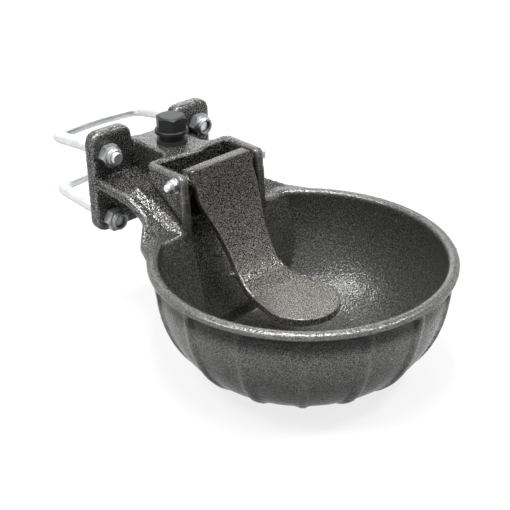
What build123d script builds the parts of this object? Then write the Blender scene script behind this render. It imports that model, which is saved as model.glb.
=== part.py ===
from build123d import *
from math import cos, radians, sin, sqrt, tan
import os

# Livestock drinking bowl: an iron casting with a hinged tongue, a stem valve and two U-bolts.
# Millimetres. It is drawn about the centre of the rim: +X to the right, +Y towards the post, +Z up, z = 0 at
# the top of the rim. Each piece is then moved so that the origin is the middle of the bolt pattern, on the
# back of the mounting plate.

os.makedirs("parts", exist_ok=True)

# ---------------------------------------------------------------- driving dimensions
far = 400.0                 # longer than the part, for cutting blocks
fit_gap = 0.05              # between pieces that fit in or around each other
face_gap = 0.02             # between faces that are clamped together

# bowl
rim_r = 115.0
rim_width = 8.7
rim_height = 6.0
bead_overhang = 3.8         # the bead stands this far out of the wall below it
bowl_depth = 92.0
base_r = 50.0               # flat underside
floor = 7.0
wall = 6.0
chord_y = 84.8              # straight back wall of the bowl, at the rim
chord_lean = 14.0           # degrees, the foot of that wall comes forward
rib_count = 16
rib_width = 5.6
rib_stand = 3.4
rib_top_stand = 1.6
rib_free_angle = 36         # degrees each side of +Y without ribs, where the back wall is straight

# pocket and cheeks around the tongue's hinge
pocket_half = 34.9
cheek = 7.7
cheek_top = 45.0
cheek_front_y = 82.2
cheek_front_lean = 2.8      # how far the cheeks lean back over their height
cheek_nose_r = 5.0          # at the top of their front
cheek_corner_r = 6.0        # upright rear corners
pocket_back_y = 121.0
pocket_wall = 7.0
pocket_foot_z = -14.0       # floor of the pocket, at its rear wall
pocket_slot_foot = (66.0, -74.0)    # where that floor meets the slot into the bowl
block_knee_z = -58.0
block_foot_z = -79.0
block_inset = 0.3           # the block's front lies this far inside the bowl's wall
panel_recess = 1.0
panel_frame = 5.0
groove_depth = 2.4          # between the panel and the web

# neck and water passage
neck_half = 20.0
neck_r = 18.5
inlet_y = 147.0
inlet_r = 9.32              # core of a G1/2 thread
inlet_thread = 14.0         # depth of each of the two threads
passage_r = 8.6
inlet_foot_z = -18.0
inlet_boss_r = 29.5
neck_blend = 9.0

# mounting plate
plate_front_y = 171.0
plate_thick = 11.5
plate_half = 61.2
plate_top = 59.6
plate_bottom = -26.0
plate_corner = 9.5
notch_half = 21.0
plate_edge = 3.0
post_r = 30.2               # a 2 inch pipe
saddle_depth = 5.0
bolt_half_spacing = 46.8
bolt_upper_z = 40.5
bolt_lower_z = -15.5
bolt_hole_r = 5.6

# side webs
web_half = 58.5
web_inner = 15.0            # inside the neck
web_thick = 8.5
web_top_z = 20.5
web_knee_y = 136.0
web_knee_r = 22.0
web_foot_y = 92.0          # where the web comes down to the rim
web_flare_y = 115.0         # in front of this it spreads out towards the rim
web_flare_half = 80.0
web_end_angle = 40.0        # degrees round the rim from +X, where the web's outer edge meets it
web_flare_r = 16.0
web_foot_r = 14.0
web_foot = 0.9              # its upper face at the rim is this far below the rim's top
web_edge = 1.6
ridge_half = 2.2
ridge_rise = 1.5
ridge_inset = 13.5          # from the web's outer edge to the ridge

# tongue
tongue_thick = 6.5
tongue_round_y = 1.2
tongue_round_r = 30.4
tongue_top_half = 29.6
tongue_waist_half = 20.8
tongue_waist_y = 50.0
tongue_waist_z = -21.0
tongue_neck = (23.0, -2.0)  # half-width and height where it starts to widen upwards
tongue_flare_z = 21.0       # full width above this
tongue_foot = (25.0, 27.0)  # half-width and y between the waist and the round end
tongue_side_r = 18.0
tongue_z = -40.2            # upper face of the flat end
tongue_top = (87.6, 46.6)
tongue_bend = (77.2, 19.5)
tongue_heel_y = 41.6
tongue_heel_r = 32.0
tongue_knee_r = 60.0
press_rib_half = 4.5

# hinge
pivot_y = 92.8
pivot_z = 37.1
pivot_r = 3.0
hub_r = 7.8
hub_half = 34.4
hub_end_r = 5.5
hub_cap_half = 31.0
washer_r = 6.0
washer_thick = 1.6
nut6_across = 10.0
nut6_height = 6.0
head6_height = 4.0
ring6_depth = 1.6
pivot_end = 2.2             # bolt end past its nut

# valve
valve_z = 8.0
valve_r = 10.0              # thread of the cartridge
valve_across = 27.0
valve_hex = 9.5
valve_nose_r = 10.0
valve_nose = 4.0
gasket_thick = 1.5
gasket_r = 15.0
valve_chamber_r = 6.5
valve_bore_r = 7.5
valve_length = 36.0
seat_y = 124.0
seat_thick = 2.0
seat_r = 4.3
stem_r = 3.0
stem_tip_y = 97.0
stem_head = 2.4
seal_r = 6.2
seal_thick = 2.4
seal_gap = 0.1
spring_wire_r = 0.5
spring_r = 5.2
spring_turns = 4.5
retainer_thick = 2.8
press_gap = 0.3             # between the tongue's press rib and the stem

# upper inlet plug
plug_across = 22.0
plug_hex_z = 56.3
plug_hex = 11.0
plug_flange_r = 13.5
plug_flange = 3.6
plug_thread_r = 10.3
plug_shank = 12.0
plug_seal_r = 12.3
plug_seal_thick = 3.0

# U-bolts and their nuts
rod_r = 5.0
u_back_y = 253.5
u_back_half = 43.5
u_bend_r = 13.0
u_bow = 2.5
upper_drop = 8.4            # the upper bolt hangs down at its back bar
nut10_across = 17.0
nut10_height = 12.0
nut10_hex = 8.2
ring10_depth = 2.4
leg_ends = {"upper_left": 2.0, "upper_right": -3.0, "lower_left": -2.6, "lower_right": -1.0}

cheek_half = pocket_half + cheek
plate_back_y = plate_front_y + plate_thick
pattern_z = (bolt_upper_z + bolt_lower_z) / 2
to_mount = Location((0, -plate_back_y, -pattern_z))


# ---------------------------------------------------------------- helpers
def keep(shape, name):
    """Moves a piece to the mounting frame and writes it."""
    export_step(to_mount * shape, f"parts/{name}.step")


def side_prism(points, half_width, centre_x=0.0):
    """A (y, z) outline carried along X, to half_width each side of centre_x."""
    face = Plane.YZ * make_face(Polyline(*points, close=True))
    return Pos(centre_x, 0, 0) * extrude(face, amount=half_width, both=True)


def rod_x(radius, x0, x1, y, z):
    """A round bar along X."""
    return Pos((x0 + x1) / 2, y, z) * Rot(0, 90, 0) * Cylinder(radius, abs(x1 - x0))


def rod_y(radius, y0, y1, x=0.0, z=0.0):
    """A round bar along Y."""
    return Pos(x, (y0 + y1) / 2, z) * Rot(90, 0, 0) * Cylinder(radius, abs(y1 - y0))


def rod_z(radius, z0, z1, x=0.0, y=0.0):
    """A round bar along Z."""
    return Pos(x, y, (z0 + z1) / 2) * Cylinder(radius, abs(z1 - z0))


def hexagon(across, height):
    """A hexagon prism that stands on z = 0."""
    return extrude(RegularPolygon(across / 2, 6, major_radius=False), amount=height)


def turned(points):
    """A body of revolution about Z, from its (radius, z) outline."""
    return revolve(Plane.XZ * make_face(Polyline(*points, close=True)), Axis.Z)


def lock_nut(across, hex_height, height, bore_r, ring_depth):
    """A nut with a collar for a nylon ring, standing on z = 0 with its collar up."""
    corner = across / sqrt(3)
    collar_r = across * 0.43
    outline = [(0, 0), (across * 0.47, 0), (corner, corner * 0.12), (corner, hex_height - corner * 0.12),
               (across * 0.47, hex_height), (collar_r, hex_height + 0.3), (collar_r, height - 1.2),
               (collar_r - 1.2, height), (0, height)]
    blank = hexagon(across, height) & turned(outline)
    ring_seat = rod_z(collar_r - 1.0, height - ring_depth, height + 1)
    return blank - rod_z(bore_r, -1, height + 1) - ring_seat


def lock_ring(across, hex_height, height, bore_r, ring_depth):
    """The nylon ring in the collar of a lock nut; it takes the same sizes as the nut."""
    ring_r = across * 0.43 - 1.0 - fit_gap
    return rod_z(ring_r, height - ring_depth + face_gap, height - 0.4) - rod_z(bore_r, -1, height + 1)


# ---------------------------------------------------------------- casting
def bowl_solid(top_r, foot_r, depth, top_z, lip_z):
    """A quarter-ellipse bowl, solid inside: radius foot_r at the base and top_r at top_z, then up to lip_z."""
    curve = EllipticalCenterArc((foot_r, top_z), top_r - foot_r, depth + top_z, 270, arc_size=90)
    outline = curve + Polyline((top_r, top_z), (top_r, lip_z), (0, lip_z), (0, -depth), (foot_r, -depth))
    return revolve(Plane.XZ * make_face(outline), Axis.Z)


def half_space(y0, lean, keep_front):
    """A block with one face through y0 at z = 0, leaning by lean degrees; it fills the front or the back."""
    shift = -far / 2 if keep_front else far / 2
    return Pos(0, y0, 0) * Rot(-lean, 0, 0) * Pos(0, shift, 0) * Box(far, far, far)


def rim_bead():
    """The rounded bead round the rim."""
    profile = Pos(rim_r - rim_width / 2, -rim_height / 2) * RectangleRounded(rim_width, rim_height, 2.6)
    return revolve(Plane.XZ * profile, Axis.Z)


def ribs(wall_r):
    """Raised ribs down the outside, deepest at the foot; the straight back wall has none."""
    swollen = bowl_solid(wall_r + rib_top_stand, base_r + rib_stand, bowl_depth, -rim_height, -rim_height / 2)
    reach = wall_r + 10
    slab = Pos(reach / 2, 0, -bowl_depth / 2) * Box(reach, rib_width, 2 * bowl_depth)
    blade = swollen & slab
    angles = [360 * index / rib_count for index in range(rib_count)]
    return [Rot(0, 0, angle) * blade for angle in angles if abs(angle - 90) > rib_free_angle]


def chord_at(z):
    """Y of the bowl's straight back wall at height z, on its inner side."""
    return chord_y + z * tan(radians(chord_lean))


def cheek_block():
    """The block that holds the pocket: cheeks, rear wall, and the foot that runs under the bowl's edge."""
    back_y = pocket_back_y + pocket_wall
    outline = [(cheek_front_y + cheek_front_lean, cheek_top), (back_y, cheek_top), (back_y, pocket_foot_z - 5),
               (chord_at(block_foot_z) + 6, block_foot_z), (chord_at(block_knee_z) + block_inset, block_knee_z),
               (chord_at(-8) + block_inset, -8), (cheek_front_y, 6)]
    block = side_prism(outline, cheek_half)
    uprights = block.edges().filter_by(Axis.Z).group_by(Axis.Y)[-1]
    block = fillet(uprights, cheek_corner_r)
    nose = block.edges().filter_by(Axis.X).filter_by(lambda e: e.center().Z > cheek_top - 1 and e.center().Y < pivot_y)
    return fillet(nose, cheek_nose_r)


def neck():
    """The neck with the vertical water passage, blended into the cheek block."""
    back_y = pocket_back_y + pocket_wall
    plan = Pos(0, back_y - 3) * Rectangle(2 * (cheek_half - cheek_corner_r - 1), 6)
    plan += Pos(0, (back_y + plate_front_y) / 2) * Rectangle(2 * neck_half, plate_front_y - back_y + 2)
    corners = plan.vertices().filter_by(lambda v: abs(abs(v.X) - neck_half) < 0.01 and abs(v.Y - back_y) < 0.01)
    plan = fillet(corners, neck_blend)
    upper = Pos(0, 0, web_top_z - 2) * extrude(plan, amount=cheek_top - web_top_z + 2)
    lower = Pos(0, (back_y + plate_front_y) / 2, (web_top_z + inlet_foot_z + 6) / 2) * Box(
        2 * (neck_half - 3), plate_front_y - back_y + 2, web_top_z - inlet_foot_z - 6)
    boss = rod_z(neck_r, inlet_foot_z, web_top_z, 0, inlet_y)
    return upper + lower + boss


def mounting_plate():
    """Plate with two upper ears, four bolt holes and a shallow saddle down its back for a round post."""
    height = plate_top - plate_bottom
    outline = Pos(0, (plate_top + plate_bottom) / 2) * Rectangle(2 * plate_half, height)
    outline -= Pos(0, plate_top) * Rectangle(2 * notch_half, 2 * (plate_top - cheek_top))
    top_corners = outline.vertices().group_by(Axis.Y)[-1]
    low_corners = outline.vertices().group_by(Axis.Y)[0]
    outline = fillet(top_corners + low_corners, plate_corner)
    plate = extrude(Plane.XZ * outline, amount=-plate_thick)
    plate = fillet(plate.faces().sort_by(Axis.Y)[0].edges() + plate.faces().sort_by(Axis.Y)[-1].edges(), plate_edge)
    plate = Pos(0, plate_front_y, 0) * plate
    saddle = rod_z(post_r, plate_bottom - 1, plate_top + 1, 0, plate_back_y - saddle_depth + post_r)
    return plate - saddle


def web(side):
    """A sheet from the plate down to the rim, knee-shaped seen from the side, with a raised ridge along it."""
    back = plate_front_y + 1
    foot_z = web_top_z - web_thick
    rim_y = rim_r * sin(radians(web_end_angle))
    sheet = side_prism([(back, web_top_z + 0.7), (web_knee_y, web_top_z - 1), (web_foot_y, -web_foot),
                        (rim_y - 4, -web_foot), (rim_y - 4, 1 - rim_height), (web_foot_y + 14, 1 - rim_height),
                        (web_knee_y - 3, foot_z - 2), (back, foot_z)], web_flare_half + 20)
    knees = sheet.edges().filter_by(Axis.X).filter_by(lambda e: abs(e.center().Y - web_knee_y) < 4)
    sheet = fillet(knees, web_knee_r)
    feet = sheet.edges().filter_by(Axis.X).filter_by(lambda e: -1 < e.center().Y - web_foot_y < 15 and e.center().Z < 1)
    sheet = fillet(feet, web_foot_r)
    rim_x = rim_r * cos(radians(web_end_angle))
    plan = make_face(Polyline((web_inner, back), (web_half, back), (web_half - 1, web_flare_y),
                              (web_flare_half, web_foot_y), (rim_x, rim_y), (web_inner, rim_y), close=True))
    bends = plan.vertices().filter_by(lambda v: v.X > web_half - 2 and web_foot_y - 1 < v.Y < web_flare_y + 1)
    plan = fillet(bends, web_flare_r)
    sheet = sheet & Pos(0, 0, -50) * extrude(plan, amount=100)
    outer = sheet.edges().filter_by(lambda e: e.center().X > web_half - 3 and e.center().Y < back - 1)
    sheet = fillet(outer.filter_by(lambda e: abs(e.tangent_at(0.5).Z) < 0.9), web_edge)
    ridge_x = web_half - ridge_inset
    ridge = side_prism([(back, web_top_z - 3), (web_knee_y, web_top_z + ridge_rise), (web_foot_y - 5, 0),
                        (web_foot_y - 5, -3), (web_knee_y, foot_z)], ridge_half, ridge_x)
    crest = ridge.edges().filter_by(lambda e: e.center().Z > web_top_z / 2 and abs(e.center().X - ridge_x) > 1)
    whole = sheet + fillet(crest, ridge_half * 0.8)
    return whole if side > 0 else mirror(whole, about=Plane.YZ)


def bowl_casting():
    wall_r = rim_r - bead_overhang
    body = bowl_solid(wall_r, base_r, bowl_depth, -rim_height, -rim_height / 2)
    for rib in ribs(wall_r):
        body += rib
    under_flange = Pos(0, 0, -rim_height - far / 2) * Box(far, far, far)
    behind = half_space(chord_y + wall / cos(radians(chord_lean)), chord_lean, False) & under_flange
    body -= behind
    body += rim_bead()

    body += neck()
    body += mounting_plate()
    for side in (-1, 1):
        body += web(side)

    # inside of the bowl, with its straight back wall
    inner_r = rim_r - rim_width
    cavity = bowl_solid(inner_r, base_r, bowl_depth - floor, -rim_height, bowl_depth)
    body -= cavity & half_space(chord_y, chord_lean, True) & Pos(0, 0, -far / 2) * Box(far, far, far)
    body += cheek_block()

    # the pocket, with a bulge over the water passage, and a flat seat for the valve
    slot_y, slot_z = pocket_slot_foot
    over = cheek_top + 5
    pocket = [(base_r, over), (pocket_back_y, over), (pocket_back_y, pocket_foot_z), (slot_y, slot_z), (base_r, slot_z)]
    bulge = rod_z(inlet_boss_r, valve_z + valve_across / 2 + 4, cheek_top + 6, 0, inlet_y)
    body -= side_prism(pocket, pocket_half) - bulge
    body -= rod_y(valve_across / sqrt(3) + 1.2, pocket_back_y - 12, pocket_back_y, 0, valve_z)

    # water passage and the cartridge's bore
    body -= rod_z(passage_r, inlet_foot_z - 1, cheek_top + 1, 0, inlet_y)
    body -= rod_z(inlet_r, inlet_foot_z - 1, inlet_foot_z + inlet_thread, 0, inlet_y)
    body -= rod_z(inlet_r, cheek_top - inlet_thread, cheek_top + 1, 0, inlet_y)
    body -= rod_y(valve_r + fit_gap, pocket_back_y - 1, inlet_y, 0, valve_z)

    # smooth triangular panels on the cheeks, pivot holes and bolt holes
    panel_back_y = pocket_back_y + pocket_wall - cheek_corner_r
    panel_front_y = cheek_front_y + panel_frame
    panel = [(panel_back_y, cheek_top - 2.5), (panel_back_y, cheek_top - 11), (panel_front_y, 11.5),
             (panel_front_y + cheek_front_lean - 1, cheek_top - 2.5)]
    groove = [(panel_back_y, cheek_top - 14), (chord_y + 3, 8.5), (chord_y + 3, 2.5), (panel_back_y, web_top_z)]
    for side in (-1, 1):
        body -= side_prism(panel, panel_recess, side * cheek_half)
        body -= rod_x(washer_r + 0.4, side * (cheek_half - panel_recess), side * (cheek_half + 1), pivot_y, pivot_z)
        body -= side_prism(groove, groove_depth, side * (cheek_half + 0.2))
    body -= rod_x(pivot_r + 0.2, -cheek_half - 1, cheek_half + 1, pivot_y, pivot_z)
    for x in (-bolt_half_spacing, bolt_half_spacing):
        for z in (bolt_upper_z, bolt_lower_z):
            body -= rod_y(bolt_hole_r, plate_front_y - 1, plate_back_y + 1, x, z)
    return body


# ---------------------------------------------------------------- tongue
def paddle():
    """Cast tongue: a bent plate, wide at the hinge, waisted, round at its end, with a press rib behind."""
    face_line = FilletPolyline(tongue_top, tongue_bend, (tongue_heel_y, tongue_z),
                               (tongue_round_y - tongue_round_r - 2, tongue_z), radius=[tongue_knee_r, tongue_heel_r])
    section = make_face(offset(face_line, amount=tongue_thick, side=Side.LEFT))
    sheet = extrude(Plane.YZ * section, amount=tongue_round_r + 4, both=True)

    # width seen from the front, for the upright part; below it the plan decides
    neck_half, neck_z = tongue_neck
    low_z = tongue_z + 10
    right = [(tongue_top_half, far), (tongue_top_half, tongue_flare_z), (neck_half, neck_z),
             (tongue_waist_half, tongue_waist_z), (tongue_waist_half, low_z), (far, low_z), (far, -far)]
    left = [(-x, z) for x, z in reversed(right)]
    upright = make_face(Polyline(*right, *left, close=True))
    bends = upright.vertices().filter_by(lambda v: low_z < v.Y < far and abs(v.X) < far - 1)
    upright = fillet(bends, tongue_side_r)
    front_prism = extrude(Plane.XZ * upright, amount=far, both=True)

    # width seen from above, for the flat end
    foot_half, foot_y = tongue_foot
    start, end = (tongue_round_r, tongue_round_y), (tongue_waist_half, tongue_waist_y)
    side = ThreePointArc(start, (foot_half, foot_y), end)
    other_side = mirror(side, about=Plane.YZ)
    top = Polyline(end, (far, far), (-far, far), (-tongue_waist_half, tongue_waist_y))
    tip = ThreePointArc(start, (0, tongue_round_y - tongue_round_r), (-tongue_round_r, tongue_round_y))
    plan_prism = extrude(make_face(Curve() + [side, top, other_side, tip]), amount=far, both=True)
    blade = sheet & front_prism & plan_prism

    hub = rod_x(hub_r, -hub_cap_half, hub_cap_half, pivot_y, pivot_z)
    hub += rod_x(hub_end_r, -hub_half, hub_half, pivot_y, pivot_z)
    hub_cap = side_prism([(pivot_y - 5, pivot_z), (pivot_y - 5, cheek_top), (pivot_y + 5.2, cheek_top),
                          (pivot_y + hub_r, cheek_top - 3), (pivot_y + hub_r, pivot_z)], hub_cap_half)
    pad_y = stem_tip_y - press_gap
    rib = side_prism([(87, 32), (pivot_y + 2, 30), (pad_y, 20), (pad_y, -3), (62, -22), (58, -17), (74, 8)],
                     press_rib_half)
    whole = blade + hub + hub_cap + rib
    return whole - rod_x(pivot_r + fit_gap, -hub_half - 1, hub_half + 1, pivot_y, pivot_z)


# ---------------------------------------------------------------- hinge hardware
cheek_face = cheek_half - panel_recess


def pivot_bolt():
    """M6 hexagon bolt, head on the right."""
    head_x = cheek_face + washer_thick + 2 * face_gap
    end_x = -(cheek_face + washer_thick + nut6_height + pivot_end)
    shank = rod_x(pivot_r, end_x, head_x + 1, pivot_y, pivot_z)
    outline = [(0, 0), (nut6_across * 0.58, 0), (nut6_across * 0.58, head6_height - 0.5),
               (nut6_across * 0.47, head6_height), (0, head6_height)]
    head = hexagon(nut6_across, head6_height) & turned(outline)
    shank_end = shank.faces().sort_by(Axis.X)[0]
    shank = chamfer(shank_end.edges(), 0.7)
    return shank + Pos(head_x, pivot_y, pivot_z) * Rot(0, 90, 0) * head


def pivot_washer(side):
    x = side * (cheek_face + face_gap)
    ring = rod_x(washer_r, x, x + side * washer_thick, pivot_y, pivot_z)
    return ring - rod_x(pivot_r + 0.2, x - 5, x + 5, pivot_y, pivot_z)


def on_left_end(shape):
    """Stands a nut on the left washer, with its collar outwards."""
    x = -(cheek_face + washer_thick + 2 * face_gap)
    return Pos(x, pivot_y, pivot_z) * Rot(0, -90, 0) * shape


# ---------------------------------------------------------------- valve
nose_y = pocket_back_y - gasket_thick - valve_hex - valve_nose
valve_end_y = nose_y + valve_length


def along_y(shape, y0):
    """Turns a shape that stands on z = 0 so that it runs along +Y from y0, on the valve's axis."""
    return Pos(0, y0, valve_z) * Rot(-90, 0, 0) * shape


def valve_body():
    """Brass cartridge: nose with the stem's guide, hexagon, thread, valve seat and spring chamber."""
    hex_y = nose_y + valve_nose
    body = rod_y(valve_nose_r, nose_y, hex_y + 1, 0, valve_z)
    body += along_y(hexagon(valve_across, valve_hex - face_gap), hex_y)
    body += rod_y(valve_r, hex_y + 1, valve_end_y, 0, valve_z)
    body -= rod_y(valve_chamber_r, nose_y + 4, seat_y - seat_thick, 0, valve_z)
    body -= rod_y(seat_r, nose_y + 5, seat_y + 1, 0, valve_z)
    body -= rod_y(valve_bore_r, seat_y, valve_end_y + 1, 0, valve_z)
    body -= rod_y(stem_r + fit_gap, nose_y - 1, nose_y + 5, 0, valve_z)
    for index in range(4):
        angle = radians(45 + 90 * index)
        body -= rod_y(1.3, nose_y - 1, nose_y + 5, 5.1 * cos(angle), valve_z + 5.1 * sin(angle))
    return body


def valve_stem():
    """Stem with a rounded tip, and the head that carries the seal."""
    head_y = seat_y + seal_gap + seal_thick
    bar = rod_y(stem_r, stem_tip_y, head_y + stem_head / 2, 0, valve_z)
    bar = fillet(bar.faces().sort_by(Axis.Y)[0].edges(), stem_r * 0.6)
    return bar + rod_y(seal_r, head_y, head_y + stem_head, 0, valve_z)


def valve_seal():
    y0 = seat_y + seal_gap
    ring = rod_y(seal_r, y0, y0 + seal_thick - face_gap, 0, valve_z)
    return ring - rod_y(stem_r + fit_gap, y0 - 1, y0 + seal_thick + 1, 0, valve_z)


def valve_spring():
    start = seat_y + seal_gap + seal_thick + stem_head + spring_wire_r + fit_gap
    end = valve_end_y - retainer_thick - spring_wire_r - fit_gap
    pitch = (end - start) / spring_turns
    path = Helix(pitch=pitch, height=end - start, radius=spring_r)
    coil = sweep(Plane(origin=path @ 0, z_dir=path % 0) * RegularPolygon(spring_wire_r, 6), path=path, is_frenet=True)
    return along_y(coil, start)


def spring_retainer():
    """Drilled disc screwed into the back of the cartridge."""
    y0 = valve_end_y - retainer_thick
    disc = rod_y(valve_bore_r - fit_gap, y0, valve_end_y, 0, valve_z)
    disc -= rod_y(1.6, y0 - 1, valve_end_y + 1, 0, valve_z)
    for index in range(6):
        angle = radians(60 * index)
        disc -= rod_y(1.4, y0 - 1, valve_end_y + 1, 4.5 * cos(angle), valve_z + 4.5 * sin(angle))
    return disc


def valve_gasket():
    y0 = pocket_back_y - gasket_thick
    ring = rod_y(gasket_r, y0, pocket_back_y - face_gap, 0, valve_z)
    return ring - rod_y(valve_r + 0.3, y0 - 1, pocket_back_y + 1, 0, valve_z)


# ---------------------------------------------------------------- upper inlet plug
def top_inlet_plug():
    """Hexagon plug with a bevelled head and a flange, its thread not quite home on the seal."""
    corner = plug_across / sqrt(3)
    flange_z = plug_hex_z - plug_flange
    head_z = plug_hex_z + plug_hex
    bevel = turned([(0, plug_hex_z), (corner + 1, plug_hex_z), (corner + 1, head_z - 2.2),
                    (plug_across * 0.42, head_z), (0, head_z)])
    head = Pos(0, 0, plug_hex_z) * hexagon(plug_across, plug_hex) & bevel
    body = turned([(0, cheek_top - plug_shank), (inlet_r - 1.5, cheek_top - plug_shank),
                   (inlet_r - fit_gap, cheek_top - plug_shank + 1.5), (inlet_r - fit_gap, cheek_top + 0.3),
                   (plug_thread_r, cheek_top + 0.3), (plug_thread_r, flange_z), (plug_flange_r - 0.8, flange_z),
                   (plug_flange_r, flange_z + 0.8), (plug_flange_r, plug_hex_z - 0.8),
                   (plug_flange_r - 0.8, plug_hex_z), (0, plug_hex_z)])
    return Pos(0, inlet_y, 0) * (head + body)


def plug_seal():
    ring = rod_z(plug_seal_r, cheek_top + face_gap, cheek_top + plug_seal_thick, 0, inlet_y)
    return ring - rod_z(plug_thread_r + fit_gap, cheek_top - 1, cheek_top + 10, 0, inlet_y)


# ---------------------------------------------------------------- U-bolts and nuts
def u_bolt(level, z, drop):
    """Square U-bolt: two legs through the plate and a slightly bowed back bar."""
    nut_face_y = plate_front_y - nut10_height
    left_y = nut_face_y - leg_ends[level + "_left"]
    right_y = nut_face_y - leg_ends[level + "_right"]
    bend_y = plate_back_y + 8
    path = FilletPolyline(
        (-bolt_half_spacing, left_y, z), (-bolt_half_spacing, bend_y, z), (-u_back_half, u_back_y - u_bow, z - drop),
        (0, u_back_y + u_bow, z - drop),
        (u_back_half, u_back_y - u_bow, z - drop), (bolt_half_spacing, bend_y, z), (bolt_half_spacing, right_y, z),
        radius=[60, u_bend_r, 120, u_bend_r, 60])
    bar = sweep(Plane(origin=path @ 0, z_dir=path % 0) * Circle(rod_r), path=path)
    ends = bar.faces().filter_by(GeomType.PLANE)
    return chamfer(ends.edges(), 1.0)


def on_plate(shape, x, z):
    """Stands a nut on the front of the plate, with its collar forward."""
    return Pos(x, plate_front_y - face_gap, z) * Rot(90, 0, 0) * shape


# ---------------------------------------------------------------- write the pieces
nut6 = (nut6_across, nut6_height * 0.68, nut6_height, pivot_r + fit_gap, ring6_depth)
nut10 = (nut10_across, nut10_hex, nut10_height, rod_r + fit_gap, ring10_depth)

keep(bowl_casting(), "bowl_casting")
keep(paddle(), "paddle")
keep(pivot_bolt(), "pivot_bolt")
for side, word in ((-1, "left"), (1, "right")):
    keep(pivot_washer(side), f"pivot_washer_{word}")
keep(on_left_end(lock_nut(*nut6)), "pivot_nut")
keep(on_left_end(lock_ring(*nut6)), "pivot_nut_ring")
keep(valve_body(), "valve_body")
keep(valve_stem(), "valve_stem")
keep(valve_seal(), "valve_seal")
keep(valve_spring(), "valve_spring")
keep(spring_retainer(), "spring_retainer")
keep(valve_gasket(), "valve_gasket")
keep(top_inlet_plug(), "top_inlet_plug")
keep(plug_seal(), "plug_seal")
for level, bolt_z, drop in (("upper", bolt_upper_z, upper_drop), ("lower", bolt_lower_z, 0.0)):
    keep(u_bolt(level, bolt_z, drop), f"{level}_u_bolt")
    for side, word in ((-1, "left"), (1, "right")):
        keep(on_plate(lock_nut(*nut10), side * bolt_half_spacing, bolt_z), f"lock_nut_{level}_{word}")
        keep(on_plate(lock_ring(*nut10), side * bolt_half_spacing, bolt_z), f"lock_ring_{level}_{word}")
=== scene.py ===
from math import cos, pi, radians, sin

import bmesh
import bpy
import numpy as np
from mathutils import Matrix, Vector


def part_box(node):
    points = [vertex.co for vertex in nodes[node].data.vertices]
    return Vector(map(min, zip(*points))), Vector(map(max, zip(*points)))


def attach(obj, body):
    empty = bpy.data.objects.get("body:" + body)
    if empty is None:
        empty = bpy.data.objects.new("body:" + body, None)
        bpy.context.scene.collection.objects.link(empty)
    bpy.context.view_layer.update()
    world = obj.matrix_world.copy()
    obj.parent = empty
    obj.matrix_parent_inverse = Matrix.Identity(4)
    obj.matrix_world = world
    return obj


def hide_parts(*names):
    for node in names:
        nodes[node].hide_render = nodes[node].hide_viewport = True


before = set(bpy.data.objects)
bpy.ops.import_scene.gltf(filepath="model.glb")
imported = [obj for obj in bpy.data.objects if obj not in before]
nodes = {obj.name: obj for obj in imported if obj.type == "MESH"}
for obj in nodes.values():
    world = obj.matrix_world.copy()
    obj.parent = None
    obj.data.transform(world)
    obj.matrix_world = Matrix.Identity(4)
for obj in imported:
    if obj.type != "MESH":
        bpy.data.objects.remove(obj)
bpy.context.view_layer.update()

# ---------------------------------------------------------------- camera
# It looks down into the bowl from beyond the rim's front left. Drawn places are millimetres from the
# middle of the rim, like the casting's own drawing, with +Y towards the post and +Z up. The frame's
# origin is on the back of the mounting plate.
MM = 0.001
RIM_CENTRE = np.array([0.0, -182.5, -12.5])


def placed(points):
    """Points in the casting's drawing, in mm, as points of the frame, in metres."""
    return (np.asarray(points, float) + RIM_CENTRE) * MM


CAMERA_PLACE = placed((-513.26, -498.59, 384.25))
AZIMUTH, ELEVATION, ROLL = radians(-43.03), radians(28.39), radians(-0.79)
back = Vector((sin(AZIMUTH) * cos(ELEVATION), -cos(AZIMUTH) * cos(ELEVATION), sin(ELEVATION)))
sideways = Vector((cos(AZIMUTH), sin(AZIMUTH), 0))
upright = back.cross(sideways)
right = cos(ROLL) * sideways + sin(ROLL) * upright
above = cos(ROLL) * upright - sin(ROLL) * sideways
turn = Matrix((right, above, back)).transposed().to_4x4()
camera_data = bpy.data.cameras.new("camera")
camera_data.sensor_width = 36.0
camera_data.lens = 77.8
camera_data.clip_start = 10 * MM
camera = bpy.data.objects.new("camera", camera_data)
camera.matrix_world = Matrix.Translation(CAMERA_PLACE) @ turn
bpy.context.scene.collection.objects.link(camera)
bpy.context.scene.camera = camera

# ---------------------------------------------------------------- bowl casting
# One iron casting: bowl, cheeks, neck, webs and plate, under thick charcoal enamel with a hammered
# finish. Sand casting and enamel leave its edges soft, so the frame's mesh is merged, remeshed and
# relaxed. Its plate is clamped to the post.
CHARCOAL = (0.05, 0.0493, 0.0475)
PALE_CELL = (0.23, 0.23, 0.219)
BOLD_DARK = (0.01, 0.0096, 0.0092)
BOLD_PALE = (0.4, 0.395, 0.38)
# Pale grey put on the enamel's edges as a painted highlight.
EDGE_HIGHLIGHT_GREY = (0.2, 0.2, 0.193)
BLACK = (0.0, 0.0, 0.0)
WHITE = (1.0, 1.0, 1.0)


class Shade:
    """One value on a surface. Arithmetic on it adds Math nodes to its material."""

    def __init__(self, paint, socket):
        self.paint = paint
        self.socket = socket

    def math(self, operation, a, b):
        return self.paint.add("ShaderNodeMath", {"operation": operation}, [a, b])

    def __add__(self, other):
        return self.math("ADD", self, other)

    def __radd__(self, other):
        return self.math("ADD", other, self)

    def __sub__(self, other):
        return self.math("SUBTRACT", self, other)

    def __rsub__(self, other):
        return self.math("SUBTRACT", other, self)

    def __mul__(self, other):
        return self.math("MULTIPLY", self, other)

    def __rmul__(self, other):
        return self.math("MULTIPLY", other, self)


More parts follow.
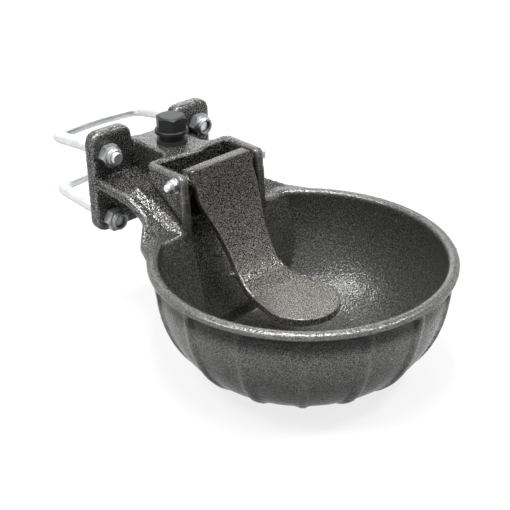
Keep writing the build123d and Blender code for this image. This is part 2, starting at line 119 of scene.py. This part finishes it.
class Paint:
    """The nodes of a new material, or of the world that is given as owner, written as expressions."""

    def __init__(self, name, owner=None):
        self.owner = bpy.data.materials.new(name) if owner is None else owner
        self.owner.use_nodes = True
        self.tree = self.owner.node_tree
        self.shader = self.tree.nodes.get("Principled BSDF")

    def add(self, kind, settings=None, inputs=(), output=0):
        """Adds one node: its settings first, then the values or links of its sockets."""
        node = self.tree.nodes.new(kind)
        for key, value in (settings or {}).items():
            if key == "stops":
                ramp = node.color_ramp.elements
                while len(ramp) < len(value):
                    ramp.new(1.0)
                for element, (place, colour) in zip(ramp, value):
                    element.position = place
                    element.color = (*colour, 1.0)
            else:
                setattr(node, key, value)
        pairs = inputs.items() if isinstance(inputs, dict) else enumerate(inputs)
        for key, value in pairs:
            self.plug(node.inputs[key], value)
        return Shade(self, node.outputs[output])

    def plug(self, socket, value):
        """Links a Shade to a socket, or sets the socket. A colour is three numbers."""
        if isinstance(value, Shade):
            self.tree.links.new(value.socket, socket)
        elif socket.type == "RGBA":
            socket.default_value = (*value, 1.0)
        else:
            socket.default_value = value

    def place(self):
        """Where a point is in the piece, in metres of the frame."""
        return self.add("ShaderNodeTexCoord", output="Object")

    def normal(self):
        """Which way the surface faces."""
        return self.add("ShaderNodeTexCoord", output="Normal")

    def bend(self):
        """About a half on flat faces, more on edges and less in hollows."""
        return self.add("ShaderNodeNewGeometry", output="Pointiness")

    def part(self, vector, axis):
        """The X, Y or Z of a vector."""
        return self.add("ShaderNodeSeparateXYZ", None, [vector], axis)

    def noise(self, scale, detail=2.0, roughness=0.5, vector=None):
        inputs = {"Vector": vector or self.place(), "Scale": scale, "Detail": detail, "Roughness": roughness}
        return self.add("ShaderNodeTexNoise", None, inputs, "Fac")

    def ramp(self, value, *stops):
        """Turns a value into a grey or a colour. Stops are (value, grey) or (value, (r, g, b))."""
        full = [(at, (c, c, c) if isinstance(c, (int, float)) else c) for at, c in stops]
        return self.add("ShaderNodeValToRGB", {"stops": full}, [value])

    def mix(self, share, first, second, blend="MIX"):
        """Blends two colours."""
        settings = {"data_type": "RGBA", "blend_type": blend}
        return self.add("ShaderNodeMix", settings, {0: share, 6: first, 7: second}, 2)

    def bump(self, height, distance, strength=1.0, under=None):
        """Relief of a height between 0 and 1 times a distance in metres, over the relief under it."""
        inputs = {"Height": height, "Distance": distance, "Strength": strength}
        if under is not None:
            inputs["Normal"] = under
        return self.add("ShaderNodeBump", None, inputs, "Normal")

    def finish(self, **sockets):
        """Sets the shader's sockets; an underscore in a name stands for a space."""
        for key, value in sockets.items():
            self.plug(self.shader.inputs[key.replace("_", " ")], value)
        return self.owner


def enamel(name, dark, pale, flake, bold_from, dim, grit, pebble, sheen):
    """Dark enamel with metal flake over pebbly cast iron.

    Noise picks dark or pale flake, and further along Y than bold_from, in metres, flake that stands
    out more. Edges get a painted highlight, hollows get painted shade, and what faces down gets
    painted shade and less metal. dim(paint, place, normal) gives painted light and shade from place
    to place. flake and grit are the scales of the flake and of the pebbles, pebble is how high those
    are in metres, and sheen is about the roughness."""
    paint = Paint(name)
    place = paint.place()
    normal = paint.normal()
    bend = paint.bend()
    # Painted highlight: edges get paler flake and the pale grey.
    edge_highlight = paint.ramp(bend, (0.512, 0.0), (0.6, 1.0))
    # Painted shade in hollows and creases.
    crease_shade = paint.ramp(bend, (0.44, 0.1), (0.49, 1.0))
    # Painted shade on what faces down, which also gets less metal.
    under = paint.ramp(paint.part(normal, "Z") * 0.5 + 0.5,
                       (0.14, 0.1), (0.3, 0.4), (0.45, 0.95), (0.5, 1.0), (0.62, 0.9))
    bold_share = paint.ramp((paint.part(place, "Y") - bold_from) * 25 + 0.5, (0.0, 0.0), (1.0, 1.0))
    grain = paint.noise(flake, 2.0, 0.6, place) + edge_highlight * 0.15
    fine = paint.mix(paint.ramp(grain, (0.42, 0.0), (0.72, 1.0)), dark, pale)
    bold = paint.mix(paint.ramp(grain, (0.48, 0.0), (0.7, 1.0)), BOLD_DARK, BOLD_PALE)
    colour = paint.mix(edge_highlight * 0.45, paint.mix(bold_share, fine, bold), EDGE_HIGHLIGHT_GREY)
    shade = paint.mix(crease_shade * under * dim(paint, place, normal), BLACK, WHITE)
    colour = paint.mix(1.0, colour, shade, "MULTIPLY")
    patches = paint.noise(300, 2.0, vector=place)
    rough = paint.ramp(patches, (0.35, sheen - 0.05), (0.65, sheen + 0.08))
    hammered = paint.bump(paint.noise(60, 2.0, vector=place), 2 * MM, 0.15)
    relief = paint.bump(paint.noise(grit, 2.0, 0.5, place), pebble, 1.0, hammered)
    return paint.finish(Base_Color=colour, Metallic=under * 0.6, Specular_IOR_Level=0.05,
                        Roughness=rough, Normal=relief)


def weld(mesh):
    """Merges the points that coincide."""
    grid = bmesh.new()
    grid.from_mesh(mesh)
    bmesh.ops.remove_doubles(grid, verts=grid.verts, dist=0.001 * MM)
    grid.to_mesh(mesh)
    grid.free()


def softened(node_name, name, voxel, rounds, waviness):
    """A copy of a node with its edges rounded off: its points are merged, it is remeshed on a grid of
    voxels, each point goes halfway to its neighbours' middle so many rounds, and clouds of 7 mm move
    it along its normal by up to half the waviness."""
    piece = nodes[node_name].copy()
    piece.data = nodes[node_name].data.copy()
    bpy.context.scene.collection.objects.link(piece)
    weld(piece.data)
    remesh = piece.modifiers.new("remesh", "REMESH")
    remesh.mode = "VOXEL"
    remesh.voxel_size = voxel
    relax = piece.modifiers.new("relax", "SMOOTH")
    relax.factor = 0.5
    relax.iterations = rounds
    cloud = bpy.data.textures.new(name + "_cloud", "CLOUDS")
    cloud.noise_scale = 7 * MM
    uneven = piece.modifiers.new("uneven", "DISPLACE")
    uneven.texture = cloud
    uneven.texture_coords = "LOCAL"
    uneven.strength = waviness
    shaped = piece.evaluated_get(bpy.context.evaluated_depsgraph_get())
    mesh = bpy.data.meshes.new_from_object(shaped)
    bpy.data.objects.remove(piece)
    mesh.shade_smooth()
    soft = bpy.data.objects.new(name, mesh)
    bpy.context.scene.collection.objects.link(soft)
    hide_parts(node_name)
    return soft


def dress(piece, material):
    """Gives a piece, or the CAD node of that name, its material."""
    mesh = nodes[piece].data if isinstance(piece, str) else piece.data
    mesh.materials.clear()
    mesh.materials.append(material)
    mesh.polygons.foreach_set("material_index", np.zeros(len(mesh.polygons), dtype=np.int32))


def under_rim(paint, place, normal):
    """1 on the outside of the bowl's front, down to 0.25 in the shade of the rim, from 17 to 26 mm
    below the origin, and 0.85 everywhere else. The outside faces away from the bowl's middle."""
    x, y, z = (paint.part(place, axis) for axis in "XYZ")
    outward = paint.part(normal, "X") * x + paint.part(normal, "Y") * (y - RIM_CENTRE[1] * MM)
    front = paint.ramp(y * -5, (0.4, 0.0), (0.5, 1.0))
    outside = paint.ramp(outward * 20 + 0.5, (0.0, 0.0), (1.0, 1.0)) * front
    band = paint.ramp((z + 0.036) * 50, (0.0, 1.0), (0.5, 0.3), (0.93, 0.25), (1.0, 1.0))
    return 0.85 + outside * (band - 0.85)


casting = softened("bowl_casting", "soft_casting", voxel=1.73 * MM, rounds=2, waviness=0.2 * MM)
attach(casting, "root")
dress(casting, enamel("casting_enamel", CHARCOAL, PALE_CELL, flake=1050, bold_from=-0.085,
                      dim=under_rim, grit=560, pebble=0.5 * MM, sheen=0.14))

# ---------------------------------------------------------------- tongue
# A cast iron press tongue, under the same enamel a little warmer, with a painted highlight across its
# bend. It hangs between the cheeks on the pivot bolt.
TONGUE_DARK = (0.005, 0.0042, 0.0038)
TONGUE_PALE = (0.46, 0.43, 0.4)
NOWHERE_BOLD = 1.0  # metres along Y, past the whole object, so that none of the flake is bold


def bend_highlight(paint, place, normal):
    """Painted highlight across the bend: 0.95 at 40 mm below the origin, down to 0.42 at both ends."""
    height = paint.part(place, "Z") * 10 + 0.9
    return paint.ramp(height, (0.15, 0.42), (0.3, 0.6), (0.5, 0.95), (0.7, 0.6), (0.95, 0.42))


tongue = softened("paddle", "soft_tongue", voxel=0.9 * MM, rounds=4, waviness=0.15 * MM)
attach(tongue, "paddle")
dress(tongue, enamel("tongue_enamel", TONGUE_DARK, TONGUE_PALE, flake=1250, bold_from=NOWHERE_BOLD,
                     dim=bend_highlight, grit=600, pebble=0.4 * MM, sheen=0.17))

# ---------------------------------------------------------------- pivot bolt, washers and nut
# A zinc-plated steel bolt goes through both cheeks and the tongue's hub, with a washer at each side
# and a lock nut whose nylon ring keeps it from working loose.


def plated(name, dark, middle, bright, gloss):
    """Zinc plate on steel: dull spangle, with painted shade on what faces down and in its corners, and
    painted light on what faces up and on its edges.
    """
    zinc = Paint(name)
    facing = zinc.part(zinc.normal(), "Z")
    tone = facing * 0.35 + zinc.noise(150, 3.0) * 0.3 + zinc.bend() * 0.6 + 0.05
    tint = zinc.ramp(tone, (0.15, dark), (0.5, middle), (0.85, bright))
    rough = zinc.ramp(zinc.noise(60, 3.0), (0.3, gloss), (0.7, gloss + 0.14))
    return zinc.finish(Base_Color=tint, Metallic=0.85, Roughness=rough)


rod_zinc = plated("zinc_plate", (0.3, 0.31, 0.32), (0.6, 0.62, 0.63), (0.85, 0.87, 0.88), gloss=0.25)
# The nuts' zinc is a darker copy, so their painted shade goes deeper.
nut_zinc = plated("nut_plate", (0.03, 0.032, 0.034), (0.2, 0.21, 0.22), (0.55, 0.57, 0.58), gloss=0.22)
nylon = Paint("nylon").finish(Base_Color=(0.2, 0.205, 0.21), Roughness=0.5)
dress("pivot_bolt", rod_zinc)
for name in ("pivot_washer_left", "pivot_washer_right", "pivot_nut"):
    dress(name, nut_zinc)
dress("pivot_nut_ring", nylon)

# ---------------------------------------------------------------- valve
# A turned brass cartridge is screwed into the back of the pocket, on a rubber gasket. The tongue
# pushes its stem, which lifts a rubber seal off its seat, and a spring on a retainer shuts it again.
# The brass is painted nearly black, as painted shade in the pocket where it sits.
brass = Paint("brass").finish(Base_Color=(0.03, 0.022, 0.012), Metallic=1.0, Roughness=0.5)
rubber = Paint("rubber").finish(Base_Color=(0.012, 0.012, 0.012), Roughness=0.6)
for name in ("valve_body", "valve_stem", "valve_spring", "spring_retainer"):
    dress(name, brass)
for name in ("valve_seal", "valve_gasket"):
    dress(name, rubber)

# ---------------------------------------------------------------- top inlet plug
# The water comes from below, so a moulded black plastic plug with a hexagon head is screwed into
# the upper inlet, on a rubber seal.
plug_paint = Paint("black_plastic")
moulded = plug_paint.bump(plug_paint.noise(1200, 2.0), 0.1 * MM, 0.4)
plug_plastic = plug_paint.finish(Base_Color=(0.01, 0.0105, 0.011), Specular_IOR_Level=0.2,
                                 Roughness=0.45, Normal=moulded)
dress("top_inlet_plug", plug_plastic)
dress("plug_seal", rubber)

# ---------------------------------------------------------------- U-bolts
# Two zinc-plated steel bars of 10 mm, bent square and threaded at both ends, go round the post and
# through the plate's four holes. Sizes are in mm, and a bar's two legs differ only in where they end.
ROD_R, CHAMFER = 5.0, 1.0
THREAD_PITCH, THREAD_DEPTH, THREADED, RUN_OUT = 1.5, 0.5, 46.0, 3.0
LEG_X, KNEE_Y, KNEE_R = 46.8, 190.5, 60.0
CORNER_X, CORNER_Y, CORNER_R = 43.5, 251.0, 13.0
CROWN_Y, CROWN_R = 256.0, 120.0
ARC_POINTS, ROUND_POINTS = 25, 40
THREAD_STEP, PLAIN_STEP = 0.25, 1.2


def tube(name, rings):
    """A closed skin over rings of points, an array of ring by point by xyz in mm: each face joins two
    neighbours on a ring to the two beside them on the next."""
    rows, columns = rings.shape[:2]
    row, column = np.meshgrid(np.arange(rows - 1), np.arange(columns), indexing="ij")
    beside = (column + 1) % columns
    quads = np.stack([row * columns + column, row * columns + beside,
                      (row + 1) * columns + beside, (row + 1) * columns + column], -1)
    mesh = bpy.data.meshes.new(name)
    mesh.from_pydata(placed(rings.reshape(-1, 3)), [], quads.reshape(-1, 4).tolist())
    weld(mesh)
    mesh.shade_smooth()
    mesh.set_sharp_from_angle(angle=radians(30))
    piece = bpy.data.objects.new(name, mesh)
    bpy.context.scene.collection.objects.link(piece)
    return piece


def bent_line(corners, radii):
    """A line through corners that are rounded: each arc's middle is on the bisector of its corner, the
    radius over the sine of half the corner's angle away, and the arc spans what is left of half a turn."""
    corners = np.asarray(corners, float)
    parts = [corners[:1]]
    for before, corner, after, radius in zip(corners, corners[1:], corners[2:], radii):
        a = (before - corner) / np.linalg.norm(before - corner)
        b = (after - corner) / np.linalg.norm(after - corner)
        inward = (a + b) / np.linalg.norm(a + b)
        across = (b - a) / np.linalg.norm(b - a)
        half = np.arccos(a @ b) / 2
        turn = np.linspace(-1, 1, ARC_POINTS)[:, None] * (pi / 2 - half)
        middle = corner + inward * radius / sin(half)
        parts.append(middle + radius * (np.sin(turn) * across - np.cos(turn) * inward))
    parts.append(corners[-1:])
    return np.concatenate(parts)


def u_bolt(level, left_end, right_end, z, drop):
    """Bent rod: a circle round the line, chamfered at both ends. Over the threaded part of each leg
    the radius loses the thread's depth times a triangle wave of distance over pitch less turn.

    left_end and right_end are the Y of its ends, z its height at the plate, and drop how much lower
    it is behind the post."""
    line = bent_line([(-LEG_X, left_end, z), (-LEG_X, KNEE_Y, z), (-CORNER_X, CORNER_Y, z - drop),
                      (0, CROWN_Y, z - drop), (CORNER_X, CORNER_Y, z - drop), (LEG_X, KNEE_Y, z),
                      (LEG_X, right_end, z)], (KNEE_R, CORNER_R, CROWN_R, CORNER_R, KNEE_R))
    steps = np.linalg.norm(np.diff(line, axis=0), axis=1)
    reach = np.concatenate([[0], np.cumsum(steps)])
    length = reach[-1]
    thread = np.arange(CHAMFER, THREADED, THREAD_STEP)
    plain = np.arange(THREADED, length - THREADED, PLAIN_STEP)
    along = np.concatenate([[0, 0], thread, plain, length - thread[::-1], [length, length]])
    radius = np.full(len(along), ROD_R)
    radius[[0, 1, -2, -1]] = 0, ROD_R - CHAMFER, ROD_R - CHAMFER, 0

    def at(distance):
        """The points of the line at these distances along it."""
        return np.stack([np.interp(distance, reach, line[:, axis]) for axis in range(3)], -1)

    ahead = at(np.minimum(along + PLAIN_STEP / 2, length)) - at(np.maximum(along - PLAIN_STEP / 2, 0))
    ahead /= np.linalg.norm(ahead, axis=1)[:, None]
    side = np.cross(ahead, (0, 0, 1.0))
    side /= np.linalg.norm(side, axis=1)[:, None]
    up = np.cross(side, ahead)
    angle = np.linspace(0, 2 * pi, ROUND_POINTS, endpoint=False)
    wave = np.abs(2 * ((along[:, None] / THREAD_PITCH - angle / (2 * pi)) % 1) - 1)
    from_end = np.minimum(along, length - along)
    depth = THREAD_DEPTH * np.clip((THREADED - from_end) / RUN_OUT, 0, 1) * (radius == ROD_R)
    r = (radius[:, None] - depth[:, None] * wave)[..., None]
    circle = np.cos(angle)[:, None] * side[:, None] + np.sin(angle)[:, None] * up[:, None]
    piece = tube(f"soft_{level}_u_bolt", at(along)[:, None] + r * circle)
    dress(piece, rod_zinc)
    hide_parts(f"{level}_u_bolt")
    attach(piece, "root")


u_bolt("upper", left_end=157.0, right_end=162.0, z=40.5, drop=8.4)
u_bolt("lower", left_end=161.6, right_end=160.0, z=-15.5, drop=0.0)

# ---------------------------------------------------------------- lock nuts
# Four zinc-plated steel lock nuts on the U-bolts' legs pull the plate on to the post, and a nylon
# ring in each one grips the thread.
for level in ("upper", "lower"):
    for side in ("left", "right"):
        dress(f"lock_nut_{level}_{side}", nut_zinc)
        dress(f"lock_ring_{level}_{side}", nylon)

# ---------------------------------------------------------------- studio
# White floor and white surroundings, as the lens, metal and glass see them, while the light that
# they throw on the object is greyer. Soft lamps hang above, at the left, in front and behind.
FLOOR_HALF = 3.0
GLOWING_SHARE = 0.8
LIT_POINT = (0, -0.1, 0)


def looked_at(paint):
    """1 for the lens, metal and glass, and 0 for the light that falls on a surface."""
    camera_ray, glossy_ray, glass_ray = (paint.add("ShaderNodeLightPath", output=f"Is {kind} Ray")
                                         for kind in ("Camera", "Glossy", "Transmission"))
    return camera_ray + glossy_ray + glass_ray


floor_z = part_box("bowl_casting")[0].z
floor_mesh = bpy.data.meshes.new("floor")
floor_corners = [(FLOOR_HALF * x, FLOOR_HALF * y, floor_z) for x, y in ((-1, -1), (1, -1), (1, 1), (-1, 1))]
floor_mesh.from_pydata(floor_corners, [], [(0, 1, 2, 3)])
floor = bpy.data.objects.new("floor", floor_mesh)
bpy.context.scene.collection.objects.link(floor)
floor_paint = Paint("floor_paint")
floor_mesh.materials.append(floor_paint.finish(Base_Color=(0.8, 0.8, 0.8), Roughness=0.9))
glow = floor_paint.add("ShaderNodeEmission", None, {"Color": WHITE, "Strength": 1.0}, "Emission")
matt = Shade(floor_paint, floor_paint.shader.outputs[0])
glow_share = looked_at(floor_paint) * GLOWING_SHARE
both = floor_paint.add("ShaderNodeMixShader", None, {0: glow_share, 1: matt, 2: glow})
floor_paint.plug(floor_paint.tree.nodes["Material Output"].inputs[0], both)

world = bpy.data.worlds.new("studio")
bpy.context.scene.world = world
sky = Paint("studio", world)
height = sky.part(sky.add("ShaderNodeTexCoord", output="Generated"), "Z")
dome = sky.ramp(height, (0.0, 0.22), (0.25, 0.25), (0.6, 0.5), (1.0, 0.7))
sky.plug(sky.tree.nodes["Background"].inputs["Color"], sky.mix(looked_at(sky), dome, WHITE))


def softbox(name, place, size, power):
    """A square soft lamp that looks at the bowl."""
    lamp = bpy.data.lights.new(name, "AREA")
    lamp.shape = "SQUARE"
    lamp.size = size
    lamp.energy = power
    holder = bpy.data.objects.new(name, lamp)
    bpy.context.scene.collection.objects.link(holder)
    holder.location = place
    holder.rotation_euler = (Vector(LIT_POINT) - Vector(place)).to_track_quat("-Z", "Y").to_euler()
    return holder


softbox("back_light", (1.0, 1.1, 0.8), size=1.0, power=8)
softbox("key_light", (-0.75, 0.1, 1.1), size=0.4, power=12)
softbox("front_light", (0.45, -0.8, 1.15), size=0.25, power=12)
top = softbox("top_light", (0.0, -0.1, 1.5), size=0.3, power=38)
top.rotation_euler = (0, 0, AZIMUTH)
top.data.shape = "RECTANGLE"
top.data.size_y = 1.1

bpy.context.scene.view_settings.view_transform = "Standard"
